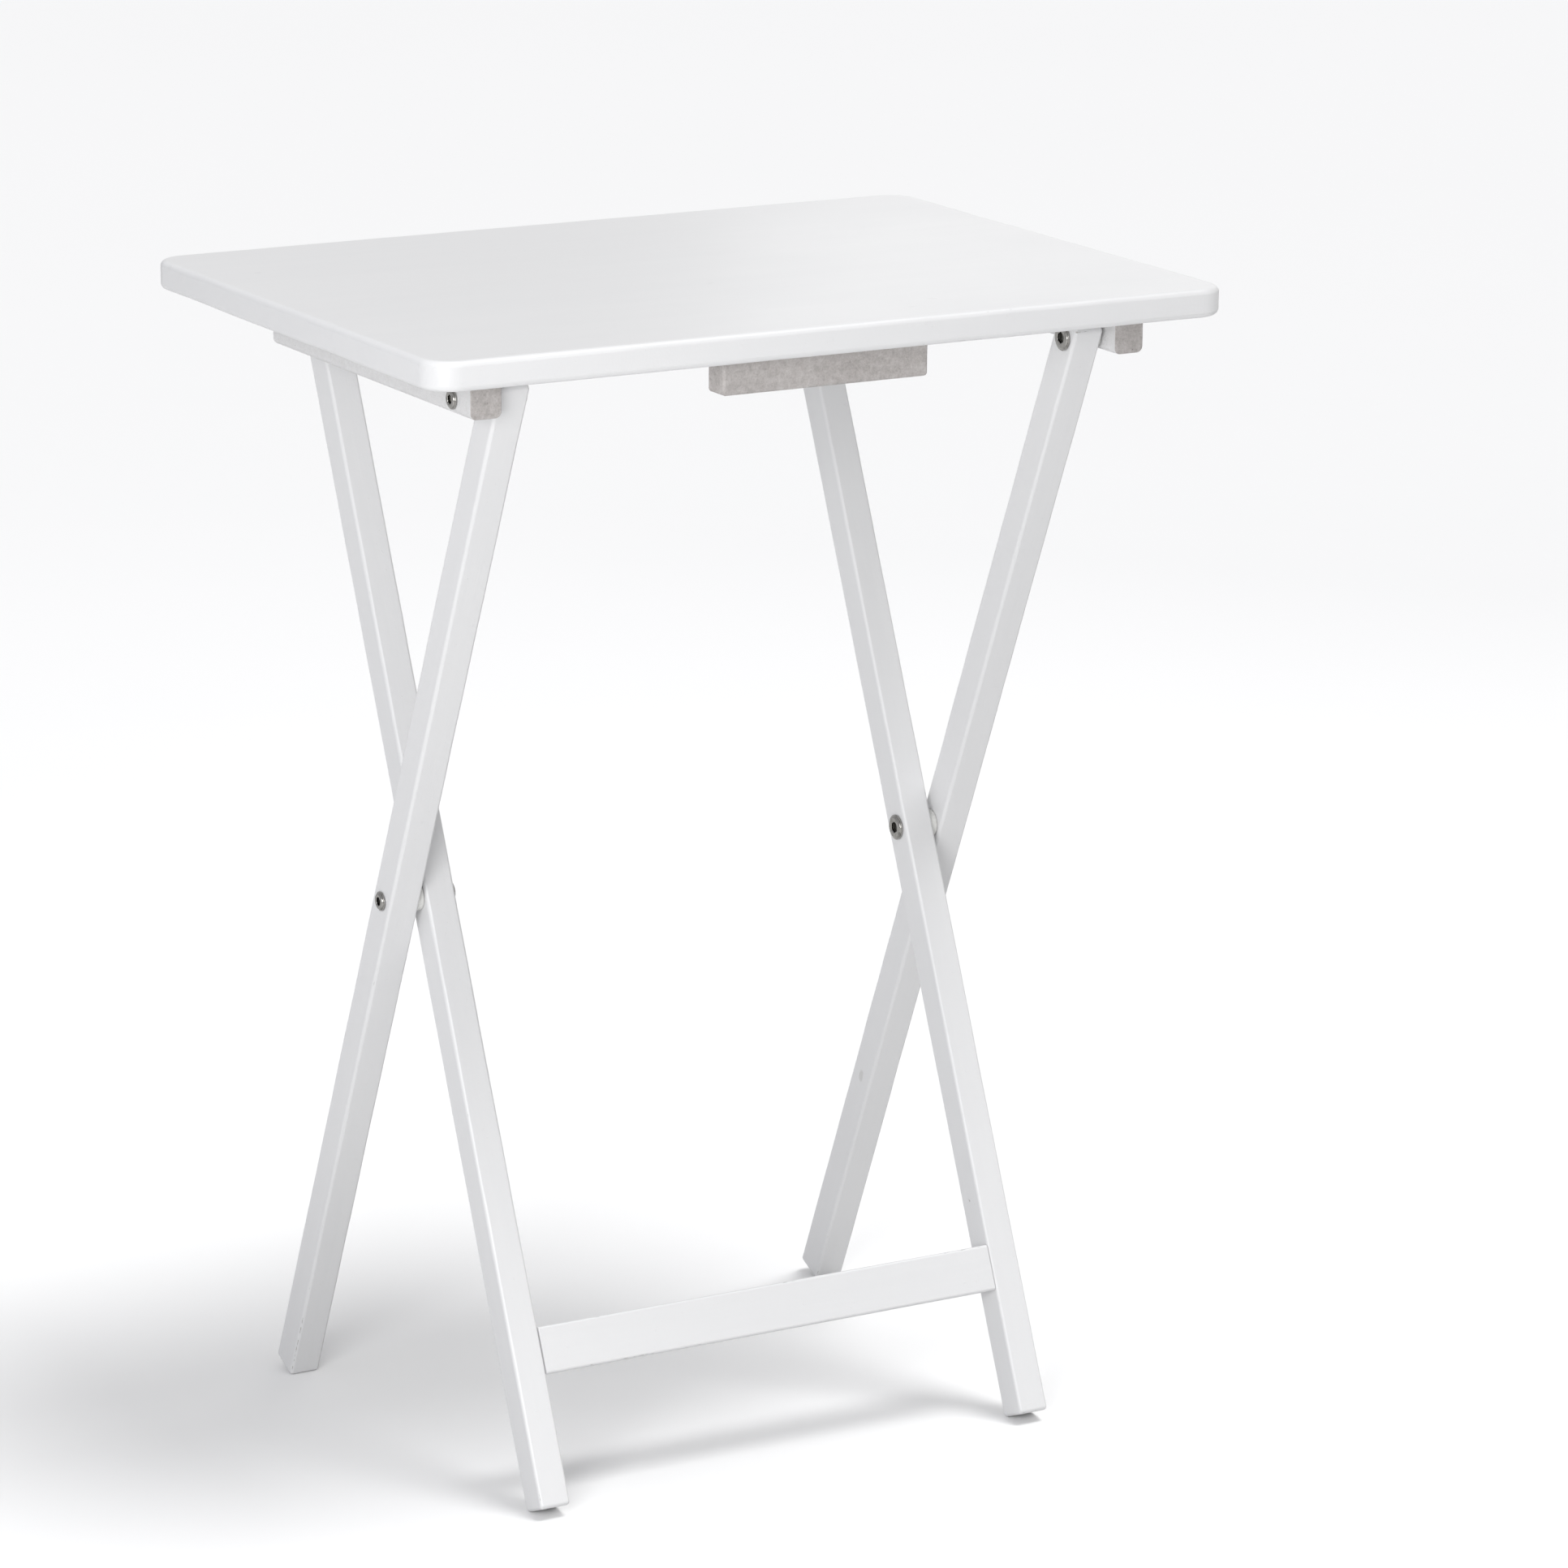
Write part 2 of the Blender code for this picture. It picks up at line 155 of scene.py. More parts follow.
# Stray small marks, such as a knock or a scuff, sparse over the whole surface.
def buildMarks(tree, given):
    where = addNoise(tree, given["Vector"], given["Mark count"], 1.0, 0.3, 0.1)
    mask = addRange(tree, where, 0.80, 0.83, smooth=True)
    return {"Marks": mask}


grainGroup = shaderGroup(
    "Lengthwise grain", {"Vector": None, "Line count": 60.0}, ("Lines", "Pores"), buildGrain
)
edgeGroup = shaderGroup(
    "Edge wear",
    {"Vector": None, "Edge": 0.0, "Patch count": 14.0, "Chip count": 240.0, "Amount": 0.06},
    ("Chips", "Rubbed"),
    buildEdgeWear,
)
coatGroup = shaderGroup(
    "Sprayed coat",
    {"Vector": None, "Cloud count": 5.0, "Peel count": 900.0, "Nib count": 420.0},
    ("Tone", "Peel", "Nibs"),
    buildCoat,
)
marksGroup = shaderGroup("Stray marks", {"Vector": None, "Mark count": 55.0}, ("Marks",), buildMarks)


def addGroup(tree, group, **inputs):
    node = tree.nodes.new("ShaderNodeGroup")
    node.node_tree = group
    for name, value in inputs.items():
        socket = node.inputs[name.replace("_", " ")]
        if isinstance(value, bpy.types.NodeSocket):
            tree.links.new(value, socket)
        else:
            socket.default_value = value
    return node.outputs


def newMaterial(name, **constants):
    material = bpy.data.materials.new(name)
    material.use_nodes = True
    tree = material.node_tree
    shader = tree.nodes["Principled BSDF"]
    for label, value in constants.items():
        shader.inputs[label.replace("_", " ")].default_value = value
    place = addNode(tree, "ShaderNodeTexCoord").outputs["Object"]
    return material, tree, shader, place


# Coordinates in the piece's own directions: they run slowly along it, so lines lie lengthwise.
def addLengthwise(tree, place, origin, turn, stretch):
    settings = {"Vector": place, "Location": origin, "Rotation": turn, "Scale": stretch}
    return addNode(tree, "ShaderNodeMapping", settings, vector_type="TEXTURE").outputs[0]


def addBump(tree, shader, height, distance):
    inputs = {"Height": height, "Distance": distance, "Strength": 1.0}
    bump = addNode(tree, "ShaderNodeBump", inputs)
    tree.links.new(bump.outputs[0], shader.inputs["Normal"])


paint = {
    "colour": (0.775, 0.775, 0.778, 1),
    "shade": (0.740, 0.741, 0.748, 1),
    "underCoat": (0.50, 0.49, 0.47, 1),
    "toneShare": 0.55,
    "grainShare": 0.25,
    "roughness": 0.33,
    "grainDepth": 0.35,
    "peelDepth": 0.25,
    "nibDepth": 0.5,
    "chipDepth": 1.6,
    "footChips": 0.15,  # feet get knocked most
    "footHeight": 0.15,
    "bump": 0.00016,
}


def makePaint(name, origin, turn, stretch, lines=70.0, chips=0.05, marks=45.0, scuffs=0.45):
    material, tree, shader, place = newMaterial(name, Specular_IOR_Level=0.5)
    along = addLengthwise(tree, place, origin, turn, stretch)
    grain = addGroup(tree, grainGroup, Vector=along, Line_count=lines)
    coat = addGroup(tree, coatGroup, Vector=place)
    edge = addNode(tree, "ShaderNodeAttribute", attribute_name="edgeWear").outputs["Fac"]
    height = addNode(tree, "ShaderNodeSeparateXYZ", {"Vector": place}).outputs["Z"]
    knocked = addRange(tree, height, 0.0, paint["footHeight"], paint["footChips"], chips)
    wear = addGroup(tree, edgeGroup, Vector=place, Edge=edge, Amount=knocked)
    stray = addGroup(tree, marksGroup, Vector=place, Mark_count=marks)

    tone = addMath(tree, "MULTIPLY", coat["Tone"], paint["toneShare"])
    streaks = addMath(tree, "MULTIPLY", grain["Lines"], paint["grainShare"])
    tone = addMath(tree, "ADD", tone, streaks, True)
    colour = addMix(tree, tone, paint["colour"], paint["shade"])
    worn = addMath(tree, "ADD", wear["Chips"], addMath(tree, "MULTIPLY", stray["Marks"], scuffs), True)
    colour = addMix(tree, worn, colour, paint["underCoat"])
    tree.links.new(colour, shader.inputs["Base Color"])

    gloss = addRange(tree, coat["Tone"], 0.0, 1.0, paint["roughness"] - 0.04, paint["roughness"] + 0.05)
    gloss = addMath(tree, "ADD", gloss, addMath(tree, "MULTIPLY", wear["Rubbed"], -0.06))
    gloss = addMath(tree, "ADD", gloss, addMath(tree, "MULTIPLY", worn, 0.35), True)
    tree.links.new(gloss, shader.inputs["Roughness"])

    height = addMath(tree, "MULTIPLY", grain["Lines"], paint["grainDepth"])
    height = addMath(tree, "ADD", height, addMath(tree, "MULTIPLY", coat["Peel"], paint["peelDepth"]))
    height = addMath(tree, "ADD", height, addMath(tree, "MULTIPLY", coat["Nibs"], paint["nibDepth"]))
    height = addMath(tree, "SUBTRACT", height, addMath(tree, "MULTIPLY", worn, paint["chipDepth"]))
    addBump(tree, shader, height, paint["bump"])
    return material


primed = {
    "colours": ((0.29, 0.268, 0.256, 1), (0.485, 0.458, 0.445, 1), (0.66, 0.638, 0.622, 1)),
    "fleck": (0.17, 0.150, 0.14, 1),
    "fleckShare": 0.6,
    "fleckCount": 460.0,
    "blotchCount": 900.0,
    "fuzzCount": 1200.0,
    "patchCount": 240.0,
    "bump": 0.0004,
}


# The ends are raw and mottled. Where the sides got paint, it is thin.
def makePrimed(name, origin, turn, stretch, paintedSides):
    material, tree, shader, place = newMaterial(name, Specular_IOR_Level=0.3)
    along = addLengthwise(tree, place, origin, turn, stretch)
    grain = addGroup(tree, grainGroup, Vector=along, Line_count=85.0)
    coat = addGroup(tree, coatGroup, Vector=place, Cloud_count=26.0)
    blotch = addRange(tree, addNoise(tree, place, primed["blotchCount"], 6.0, 0.72), 0.30, 0.70)
    fuzz = addNoise(tree, place, primed["fuzzCount"], 3.0, 0.7)
    patch = addRange(tree, addNoise(tree, place, primed["patchCount"], 4.0, 0.6, 0.5), 0.32, 0.68)
    mottle = addMath(tree, "MULTIPLY", blotch, 0.42)
    mottle = addMath(tree, "ADD", mottle, addMath(tree, "MULTIPLY", patch, 0.32))
    mottle = addMath(tree, "ADD", mottle, addMath(tree, "MULTIPLY", coat["Tone"], 0.14))
    mottle = addMath(tree, "ADD", mottle, addMath(tree, "MULTIPLY", grain["Lines"], 0.12), True)
    ramp = addNode(tree, "ShaderNodeValToRGB", {"Fac": mottle})
    ramp.color_ramp.elements[0].color = primed["colours"][0]
    ramp.color_ramp.elements[1].color = primed["colours"][2]
    middle = ramp.color_ramp.elements.new(0.52)
    middle.color = primed["colours"][1]
    fleck = addRange(tree, addNoise(tree, place, primed["fleckCount"], 2.0, 0.5), 0.74, 0.79, smooth=True)
    raw = ramp.outputs["Color"]
    gloss = addRange(tree, mottle, 0.0, 1.0, 0.88, 0.68)
    if paintedSides:
        ends = addNode(tree, "ShaderNodeAttribute", attribute_name="endGrain").outputs["Fac"]
        thin = addMix(tree, addRange(tree, mottle, 0.2, 0.8, 0.22, 0.02), paint["colour"], raw)
        raw = addMix(tree, ends, thin, raw)
        gloss = addMath(tree, "MULTIPLY", gloss, addRange(tree, ends, 0.0, 1.0, 0.6, 1.0))
    colour = addMix(tree, addMath(tree, "MULTIPLY", fleck, primed["fleckShare"]), raw, primed["fleck"])
    tree.links.new(colour, shader.inputs["Base Color"])
    tree.links.new(gloss, shader.inputs["Roughness"])
    height = addMath(tree, "MULTIPLY", blotch, 0.4)
    height = addMath(tree, "ADD", height, addMath(tree, "MULTIPLY", fuzz, 0.35))
    height = addMath(tree, "ADD", height, addMath(tree, "MULTIPLY", grain["Lines"], 0.25))
    height = addMath(tree, "SUBTRACT", height, addMath(tree, "MULTIPLY", fleck, 0.8))
    addBump(tree, shader, height, primed["bump"])
    return material


bareWood = {
    "colours": ((0.30, 0.19, 0.10, 1), (0.58, 0.42, 0.26, 1)),
    "bump": 0.0003,
}


def makeBareWood(name):
    material, tree, shader, place = newMaterial(name, Specular_IOR_Level=0.3)
    along = addLengthwise(tree, place, (0, 0, 0), (0, 0, 0), (12, 1, 1))
    grain = addGroup(tree, grainGroup, Vector=along, Line_count=400.0)
    coat = addGroup(tree, coatGroup, Vector=place, Cloud_count=60.0)
    share = addMath(tree, "MULTIPLY", grain["Lines"], 0.7)
    share = addMath(tree, "ADD", share, addMath(tree, "MULTIPLY", coat["Tone"], 0.3), True)
    colour = addMix(tree, share, *bareWood["colours"])
    tree.links.new(colour, shader.inputs["Base Color"])
    tree.links.new(addRange(tree, grain["Lines"], 0.0, 1.0, 0.72, 0.58), shader.inputs["Roughness"])
    height = addMath(tree, "SUBTRACT", grain["Lines"], grain["Pores"])
    addBump(tree, shader, height, bareWood["bump"])
    return material


steel = {
    "colour": (0.46, 0.45, 0.43, 1),
    "dull": (0.17, 0.165, 0.15, 1),
    # painted shade with grime: the dark colour for sockets and the flange's foot
    "shadeAndGrime": (0.05, 0.048, 0.042, 1),
    "roughness": 0.11,
    "ringCount": 3500.0,
    "ringDepth": 0.6,
    "bump": 0.00003,
}

zinc = {
    "colour": (0.60, 0.61, 0.62, 1),
    "dull": (0.33, 0.33, 0.33, 1),
    "shadeAndGrime": steel["shadeAndGrime"],
    "roughness": 0.30,
    "ringCount": 2500.0,
    "ringDepth": 0.3,
    "bump": 0.00003,
}


# Rings come from the radial attribute, which holds each point's distance from the turning axis, and a
# painted shade with grime comes from the attribute that is 1 in a socket and where the flange meets the
# wood: these hollows are darkened as shade would fall in them, as well as for dirt.
def makeMetal(name, metal):
    material, tree, shader, place = newMaterial(name, Metallic=1.0)
    radial = addNode(tree, "ShaderNodeAttribute", attribute_name="radial").outputs["Fac"]
    line = addNode(tree, "ShaderNodeCombineXYZ", {"X": radial}).outputs[0]
    turned = addNoise(tree, line, metal["ringCount"], 3.0, 0.6)
    coat = addGroup(tree, coatGroup, Vector=place, Cloud_count=180.0, Peel_count=2200.0)
    stain = addRange(tree, addNoise(tree, place, 420.0, 4.0, 0.6), 0.46, 0.74, smooth=True)
    share = addMath(tree, "MULTIPLY", stain, 0.55)
    share = addMath(tree, "ADD", share, addMath(tree, "MULTIPLY", turned, 0.2), True)
    recess = addNode(tree, "ShaderNodeAttribute", attribute_name="recess").outputs["Fac"]
    clean = addMix(tree, share, metal["colour"], metal["dull"])
    # painted shade: sockets and the flange's foot are darkened as if in shade, along with grime
    shadeAndGrime = addMath(tree, "MULTIPLY", recess, addRange(tree, coat["Tone"], 0.0, 1.0, 0.75, 0.95))
    tree.links.new(addMix(tree, shadeAndGrime, clean, metal["shadeAndGrime"]), shader.inputs["Base Color"])
    gloss = addMath(tree, "ADD", addMath(tree, "MULTIPLY", stain, 0.18), metal["roughness"])
    gloss = addMath(tree, "ADD", gloss, addMath(tree, "MULTIPLY", coat["Tone"], 0.06), True)
    tree.links.new(gloss, shader.inputs["Roughness"])
    height = addMath(tree, "MULTIPLY", turned, metal["ringDepth"])
    height = addMath(tree, "ADD", height, addMath(tree, "MULTIPLY", coat["Peel"], 0.4))
    addBump(tree, shader, height, metal["bump"])
    return material


plastic = {"colour": (0.76, 0.76, 0.74, 1), "shade": (0.66, 0.66, 0.63, 1), "bump": 0.00004}


def makePlastic(name):
    material, tree, shader, place = newMaterial(name, Specular_IOR_Level=0.45)
    coat = addGroup(tree, coatGroup, Vector=place, Cloud_count=90.0, Peel_count=1800.0)
    radial = addNode(tree, "ShaderNodeAttribute", attribute_name="radial").outputs["Fac"]
    line = addNode(tree, "ShaderNodeCombineXYZ", {"X": radial}).outputs[0]
    rings = addNoise(tree, line, 3000.0, 2.0, 0.5)
    share = addMath(tree, "MULTIPLY", coat["Tone"], 0.6)
    share = addMath(tree, "ADD", share, addMath(tree, "MULTIPLY", rings, 0.3), True)
    colour = addMix(tree, share, plastic["colour"], plastic["shade"])
    tree.links.new(colour, shader.inputs["Base Color"])
    tree.links.new(addRange(tree, coat["Tone"], 0.0, 1.0, 0.34, 0.46), shader.inputs["Roughness"])
    height = addMath(tree, "MULTIPLY", rings, 0.6)
    height = addMath(tree, "ADD", height, addMath(tree, "MULTIPLY", coat["Peel"], 0.4))
    addBump(tree, shader, height, plastic["bump"])
    return material


longX, longY, longZ = (14, 1, 1), (1, 14, 1), (1, 1, 14)
topPaint = makePaint(
    "Satin white, top", (0, 0, 0), (0, 0, 0), longX, lines=42.0, chips=0.02, marks=70.0, scuffs=0.08
)
outerPaint = makePaint("Satin white, outer legs", crossing, (lean, 0, 0), longZ)
innerPaint = makePaint("Satin white, inner legs", crossing, (-lean, 0, 0), longZ)
barPaint = makePaint("Satin white, bars", crossing, (-lean, 0, 0), longX, marks=60.0)
cleatPrimed = makePrimed("Primed wood, cleats", (0, 0, 0), (0, 0, 0), longY, True)
blockPrimed = makePrimed("Primed wood, blocks", (0, 0, 0), (0, 0, 0), longX, False)
dowelWood = makeBareWood("Beech, dowels")
boltSteel = makeMetal("Polished steel, bolts", steel)
screwSteel = makeMetal("Zinc plate, screws", zinc)
washerPlastic = makePlastic("Pale nylon, washers")
print("materials made")


# A closed outline with rounded corners, drawn counter-clockwise from (u, v, radius) rows and
# moved inwards by inset. Each point comes with its outward normal and how far it is into a corner.
def roundedOutline(corners, inset, arcSteps, runLength):
    count = len(corners)
    arcs, reaches = [], []
    for index in range(count):
        before, corner, after = (Vector(corners[(index + k) % count][:2]) for k in (-1, 0, 1))
        into, out = (corner - before).normalized(), (after - corner).normalized()
        angle = math.atan2(into.x * out.y - into.y * out.x, into.dot(out))
        turn = 1 if angle > 0 else -1
        firstNormal, lastNormal = Vector((into.y, -into.x)), Vector((out.y, -out.x))
        moved = corner - (firstNormal + lastNormal) / (1 + firstNormal.dot(lastNormal)) * inset
        radius = corners[index][2] - turn * inset
        reach = abs(math.tan(angle / 2))
        centre = moved - into * radius * reach - firstNormal * radius * turn
        points = []
        for step in range(arcSteps + 1):
            share = step / arcSteps
            normal = firstNormal.copy()
            normal.rotate(Matrix.Rotation(angle * share, 2))
            points.append((centre + normal * radius * turn, normal, math.sin(math.pi * share)))
        arcs.append(points)
        reaches.append(corners[index][2] * reach)
    result = []
    for index in range(count):
        following = (index + 1) % count
        full = (Vector(corners[following][:2]) - Vector(corners[index][:2])).length
        run = full - reaches[index] - reaches[following]
        arc = arcs[index]
        if run < 1e-6:
            result += arc[:-1]
            continue
        result += arc
        start, end = arc[-1][0], arcs[following][0][0]
        steps = max(1, round(run / runLength))
        for step in range(1, steps):
            result.append((start.lerp(end, step / steps), arc[-1][1], 0.0))
    return result


lumps = 31.0  # how closely the uneven rounding of an edge changes, per metre


# The outline between two planes, with both rims rounded over. Wander makes the rounding
# uneven, as sanding by hand does, and place turns (u, v, w) into a point of the frame.
def softSolid(shape, corners, low, high, place):
    bm = bmesh.new()
    rim, steps = shape["rim"], shape["rimSteps"]
    bands = max(1, round((high - low - 2 * rim) / shape.get("bandLength", 1.0)))
    layers = [(low, 1, math.pi / 2 * (steps - k) / steps) for k in range(steps)]
    layers += [(low + rim + (high - low - 2 * rim) * k / bands, 0, 0.0) for k in range(bands + 1)]
    layers += [(high, -1, math.pi / 2 * (k + 1) / steps) for k in range(steps)]
    rings = []
    for plane, inwards, angle in layers:
        ring = []
        outline = roundedOutline(
            corners, rim * (1 - math.cos(angle)), shape["cornerSteps"], shape["runLength"]
        )
        for point, normal, bend in outline:
            seed = Vector((point.x * lumps, point.y * lumps, shape["seed"] + plane * lumps))
            uneven = shape["wander"] * (0.5 + noise.noise(seed))
            extra = max(0.0, rim * uneven * (1 - math.cos(angle)))
            if bend:
                extra += shape["wander"] * 0.25 * rim * bend * (0.5 + 0.5 * noise.noise(seed * 1.7))
            at = point - normal * extra
            depth = plane + inwards * rim * (1 + uneven) * (1 - math.sin(angle))
            ring.append(bm.verts.new(place(at.x, at.y, depth)))
        rings.append(ring)
    for ring, following in zip(rings, rings[1:]):
        for k in range(len(ring)):
            m = (k + 1) % len(ring)
            bm.faces.new((ring[k], ring[m], following[m], following[k]))
    bm.faces.new(rings[0])
    bm.faces.new(rings[-1])
    return bm


# A profile of (along, radius, sixSided) rows turned about X, from the axis back to the axis or,
# as a ring, closed on itself.
def turnedSolid(profile, steps=48, ring=False, into=None, place=None):
    bm = into or bmesh.new()
    rows = []
    for along, radius, sixSided in profile:
        if radius == 0:
            rows.append([bm.verts.new((along, 0, 0))] * steps)
            continue
        row = []
        for step in range(steps):
            angle = math.tau * step / steps
            flat = radius / math.cos((angle + math.pi / 6) % (math.pi / 3) - math.pi / 6)
            here = radius + (flat - radius) * sixSided
            row.append(bm.verts.new((along, here * math.cos(angle), here * math.sin(angle))))
        rows.append(row)
    pairs = list(zip(rows, rows[1:] + rows[:1])) if ring else list(zip(rows, rows[1:]))
    made = set()
    for first, second in pairs:
        for k in range(steps):
            m = (k + 1) % steps
            corners = []
            for vert in (first[k], first[m], second[m], second[k]):
                if vert not in corners:
                    corners.append(vert)
            bm.faces.new(corners)
            made.update(corners)
    if place is not None:
        bmesh.ops.transform(bm, matrix=place, verts=list(made))
    return bm


# Profile rows along a quarter of an ellipse, which leaves start along the axis.
def quarterArc(start, end, steps):
    rows = []
    for step in range(steps + 1):
        angle = math.pi / 2 * step / steps
        along = start[0] + (end[0] - start[0]) * math.sin(angle)
        radius = end[1] + (start[1] - end[1]) * math.cos(angle)
        rows.append((along, radius, 0))
    return rows


def meshOf(bm, name):
    bmesh.ops.remove_doubles(bm, verts=bm.verts, dist=1e-6)
    bmesh.ops.recalc_face_normals(bm, faces=bm.faces)
    mesh = bpy.data.meshes.new(name)
    bm.to_mesh(mesh)
    bm.free()
    return mesh


def linkedObject(mesh, name):
    obj = bpy.data.objects.new(name, mesh)
    bpy.context.scene.collection.objects.link(obj)
    return obj


def applyModifiers(obj):
    graph = bpy.context.evaluated_depsgraph_get()
    mesh = bpy.data.meshes.new_from_object(obj.evaluated_get(graph), depsgraph=graph)
    old = obj.data
    obj.modifiers.clear()
    obj.data = mesh
    mesh.name = obj.name
    bpy.data.meshes.remove(old)


# Cuts the holes, then shades flat faces flat and rounded ones smooth.
def refine(obj, cutter=None, sharpAngle=38):
    if cutter is not None:
        tool = linkedObject(meshOf(cutter, "holes"), "holes")
        cut = obj.modifiers.new("Holes", "BOOLEAN")
        cut.operation = "DIFFERENCE"
        cut.solver = "EXACT"
        cut.object = tool
        before = obj.dimensions.copy()
        applyModifiers(obj)
        bpy.context.view_layer.update()
        if (obj.dimensions - before).length > 0.001:
            print("holes spoil", obj.name)
        bpy.data.objects.remove(tool)
    obj.data.shade_smooth()
    obj.data.set_sharp_from_angle(angle=math.radians(sharpAngle))
    weighted = obj.modifiers.new("Even shading", "WEIGHTED_NORMAL")
    weighted.keep_sharp = True
    weighted.weight = 80
    applyModifiers(obj)


# Each point gets 1 in the middle of a rounded edge and 0 on the flat, in the piece's own directions.
def markEdges(obj, turn):
    back = turn.inverted()
    values = []
    for vert in obj.data.vertices:
        normal = back @ vert.normal
        flatness = max(abs(normal.x), abs(normal.y), abs(normal.z))
        values.append(min(1.0, (1 - flatness) / 0.29))
    layer = obj.data.attributes.new("edgeWear", "FLOAT", "POINT")
    layer.data.foreach_set("value", values)
    layer = obj.data.attributes.new("endGrain", "FLOAT", "FACE")
    layer.data.foreach_set("value", [float(abs(face.normal.y) > 0.7) for face in obj.data.polygons])


def finishPiece(obj, material, body, nodes):
    obj.data.materials.clear()
    obj.data.materials.append(material)
    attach(obj, body)
    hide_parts(*nodes)


def makePiece(name, bm, material, body, nodes, cutter=None, turn=Matrix.Identity(3)):
    obj = linkedObject(meshOf(bm, name), name)
    refine(obj, cutter)
    markEdges(obj, turn)
    finishPiece(obj, material, body, nodes)


overshoot = 0.01  # how far a cutter runs past the wood


def addDrill(into, centre, start, end, radius):
    profile = ((start, 0, 0), (start, radius, 0), (end, radius, 0), (end, 0, 0))
    skew = Matrix.Rotation(0.037, 4, "X")  # so that no flat of the drill lines up with an edge
    return turnedSolid(profile, 40, into=into, place=Matrix.Translation(centre) @ skew)


topShape = {
    "cornerRadius": 0.017,
    "rim": 0.003,
    "rimSteps": 8,
    "cornerSteps": 14,
    "runLength": 0.012,
    "wander": 0.30,
    "seed": 3.0,
}

low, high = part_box("table_top")
corners = [
    (x, y, topShape["cornerRadius"])
    for x, y in ((low.x, low.y), (high.x, low.y), (high.x, high.y), (low.x, high.y))
]
topSolid = softSolid(topShape, corners, low.z, high.z, lambda u, v, w: (u, v, w))


screw = {
    "headWidth": 0.0076,
    "headHeight": 0.0028,
    "lip": 0.0004,
    "shankRadius": 0.0020,
    "crossWidth": 0.0011,
    "crossReach": 0.0020,
    "crossDepth": 0.0016,
    "largestSpin": 1.5,
    "seed": 7,
    "gap": 0.0002,
}


def screwProfile(length, gap=0.0):
    mouth = -overshoot if gap else 0.0
    radius, shank = screw["headWidth"] / 2 + gap, screw["shankRadius"] + gap
    rows = [(mouth, 0, 0), (mouth, radius, 0), (screw["lip"], radius, 0)]
    rows += [(screw["headHeight"], shank, 0), (length - shank, shank, 0), (length + gap, 0, 0)]
    return rows


# Where each screw's head face is, read from its CAD node: the middle of its box, at its foot.
def screwPlaces(names):
    places = {}
    for name in names:
        low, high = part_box(name)
        places[name] = (Vector(((low.x + high.x) / 2, (low.y + high.y) / 2, low.z)), high.z - low.z)
    return places


upright = Matrix.Rotation(-math.pi / 2, 4, "Y")
screwNames = sorted(name for name in frame["nodes"] if "_screw_" in name)
places = screwPlaces(screwNames)


def addScrewHoles(into, prefix):
    for name, (place, length) in places.items():
        if name.startswith(prefix):
            at = Matrix.Translation(place) @ upright
            into = turnedSolid(screwProfile(length, screw["gap"]), 32, into=into, place=at)
    return into


topHoles = addScrewHoles(bmesh.new(), "")
makePiece("tableTop", topSolid, topPaint, "tray", ["table_top"], topHoles)
print("top made")


bolt = {
    "headRadius": 0.0072,
    "headHeight": 0.0018,
    "headSocket": 0.0028,
    "shankRadius": 0.0029,
    "sleeveRadius": 0.0040,
    "capRadius": 0.0054,
    "capHeight": 0.0019,
    "capSocket": 0.0022,
    "flange": 0.0006,
    "shankShare": 0.8,  # of the stack that the bolt goes through
    "sleeveShare": 0.15,
    "faceGap": 0.0003,
    "holeRadius": 0.0042,
}

cleatShape = {
    "upperRadius": 0.0006,
    "lowerRadius": 0.0035,
    "rim": 0.0005,
    "rimSteps": 3,
    "cornerSteps": 8,
    "runLength": 0.012,
    "bandLength": 0.012,
    "wander": 0.35,
    "seed": 11.0,
}

for side, sign in sides:
    low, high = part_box(f"{side}_cleat")
    corners = [
        (low.x, low.z, cleatShape["lowerRadius"]),
        (high.x, low.z, cleatShape["lowerRadius"]),
        (high.x, high.z, cleatShape["upperRadius"]),
        (low.x, high.z, cleatShape["upperRadius"]),
    ]
    solid = softSolid(cleatShape, corners, low.y, high.y, lambda u, v, w: (u, w, v))
    holes = addScrewHoles(bmesh.new(), f"{side}_cleat_screw")
    centre = Vector((0, upperPivot.y, upperPivot.z))
    addDrill(holes, centre, low.x - overshoot, high.x + overshoot, bolt["holeRadius"])
    makePiece(f"{side}Cleat", solid, cleatPrimed, "tray", [f"{side}_cleat"], holes)

blockShape = {
    "radius": 0.0018,
    "rim": 0.0014,
    "rimSteps": 5,
    "cornerSteps": 6,
    "runLength": 0.010,
    "wander": 0.35,
    "seed": 17.0,
}

low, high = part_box("front_block")
corners = [
    (x, z, blockShape["radius"])
    for x, z in ((low.x, low.z), (high.x, low.z), (high.x, high.z), (low.x, high.z))
]
solid = softSolid(blockShape, corners, low.y, high.y, lambda u, v, w: (u, w, v))
holes = addScrewHoles(bmesh.new(), "front_block_screw")
makePiece("frontBlock", solid, blockPrimed, "tray", ["front_block"], holes)

catchShape = {
    "seatHeight": 0.0054,
    "wall": 0.0135,
    "radius": 0.0010,
    "innerRadius": 0.0012,
    "rim": 0.0008,
    "rimSteps": 4,
    "cornerSteps": 5,
    "runLength": 0.010,
    "wander": 0.35,
    "seed": 23.0,
}

low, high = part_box("rear_catch")
seatFoot = high.z - catchShape["seatHeight"]
wallFront = high.y - catchShape["wall"]
edge = catchShape["radius"]
corners = [
    (low.y, seatFoot, edge),
    (wallFront, seatFoot, catchShape["innerRadius"]),
    (wallFront, low.z, edge),
    (high.y, low.z, edge),
    (high.y, high.z, edge),
    (low.y, high.z, edge),
]
solid = softSolid(catchShape, corners, low.x, high.x, lambda u, v, w: (w, u, v))
holes = addScrewHoles(bmesh.new(), "rear_catch_screw")
makePiece("rearCatch", solid, blockPrimed, "tray", ["rear_catch"], holes)
print("cleats and blocks made")


